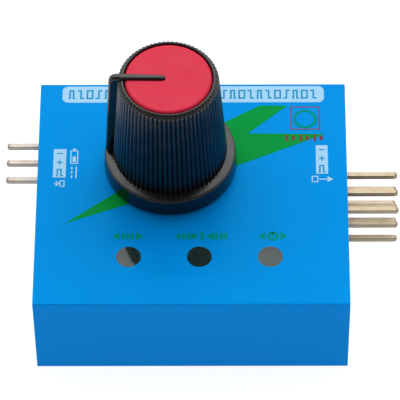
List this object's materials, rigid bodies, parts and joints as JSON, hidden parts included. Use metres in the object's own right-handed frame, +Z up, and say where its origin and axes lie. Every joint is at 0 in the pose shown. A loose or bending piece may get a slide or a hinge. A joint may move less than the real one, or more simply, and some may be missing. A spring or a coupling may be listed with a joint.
{
  "type": "servo driver board",
  "caption": "Cased servo tester board with a ribbed knob, flush select key, indicator windows and right-angled pin headers.",
  "frame": {"origin": "centre of the case's underside", "axes": "+X towards the output pins, +Y towards the rear edge, +Z up along the knob's axis"},
  "size_m": [0.0468, 0.0322, 0.0291],
  "materials": {
    "case_blue": "glossy folded plastic sheet",
    "base_blue": "glossy plastic",
    "board_green": "solder mask over glass-fibre board",
    "clear_window": "clear plastic",
    "knob_black": "satin moulded plastic",
    "cap_red": "satin moulded plastic",
    "black_plastic": "moulded plastic",
    "pot_body": "moulded plastic",
    "phenolic_brown": "phenolic laminate",
    "carbon_track": "printed carbon film",
    "plated_steel": "nickel-plated steel",
    "tinned_metal": "tinned copper alloy",
    "spring_metal": "rolled spring bronze",
    "bushing_metal": "die-cast alloy",
    "silver_pins": "tin-plated brass",
    "gold_pins": "thin gold plating over nickel",
    "led_white": "white moulded package",
    "led_clear": "clear epoxy",
    "can_aluminium": "drawn aluminium",
    "resistor_black": "glazed ceramic",
    "capacitor_tan": "ceramic"
  },
  "bodies": {
    "case": {"top_cover": "case_blue", "base_cover": "base_blue", "circuit_board": "board_green", "window_left": "clear_window", "window_middle": "clear_window", "window_right": "clear_window", "switch_base": "black_plastic", "input_housing": "black_plastic", "output_housing": "black_plastic", "capacitor_base": "black_plastic", "microcontroller": "black_plastic", "pot_case": "pot_body", "pot_wafer": "phenolic_brown", "pot_track": "carbon_track", "switch_frame": "plated_steel", "pot_frame": "plated_steel", "pot_washer": "plated_steel", "pot_nut": "plated_steel", "switch_terminals": "tinned_metal", "pot_terminals": "tinned_metal", "microcontroller_leads": "tinned_metal", "resistor_ends": "tinned_metal", "chip_capacitor_ends": "tinned_metal", "solder_joints": "tinned_metal", "switch_dome": "spring_metal", "pot_bushing": "bushing_metal", "input_pins": "silver_pins", "output_pins_lower": "gold_pins", "output_pins_middle": "gold_pins", "output_pins_upper": "gold_pins", "led_left": "led_white", "led_middle": "led_white", "led_right": "led_white", "led_lens_left": "led_clear", "led_lens_middle": "led_clear", "led_lens_right": "led_clear", "capacitor_can": "can_aluminium", "resistors": "resistor_black", "chip_capacitors": "capacitor_tan"},
    "knob": {"knob": "knob_black", "knob_cap": "cap_red", "pot_shaft": "bushing_metal", "pot_wiper": "spring_metal"},
    "select_key": {"select_pad": "case_blue", "switch_plunger": "black_plastic"}
  },
  "joints": [
    {"name": "knob_turn", "type": "hinge", "parent": "case", "child": "knob", "pos_m": [-0.00256, 0.0042, 0.0127], "axis": [0, 0, 1], "range_deg": [-60, 240]},
    {"name": "select_press", "type": "slide", "parent": "case", "child": "select_key", "axis": [0, 0, -1], "range_m": [0, 0.00025], "stiffness_N_per_m": 6400}
  ]
}
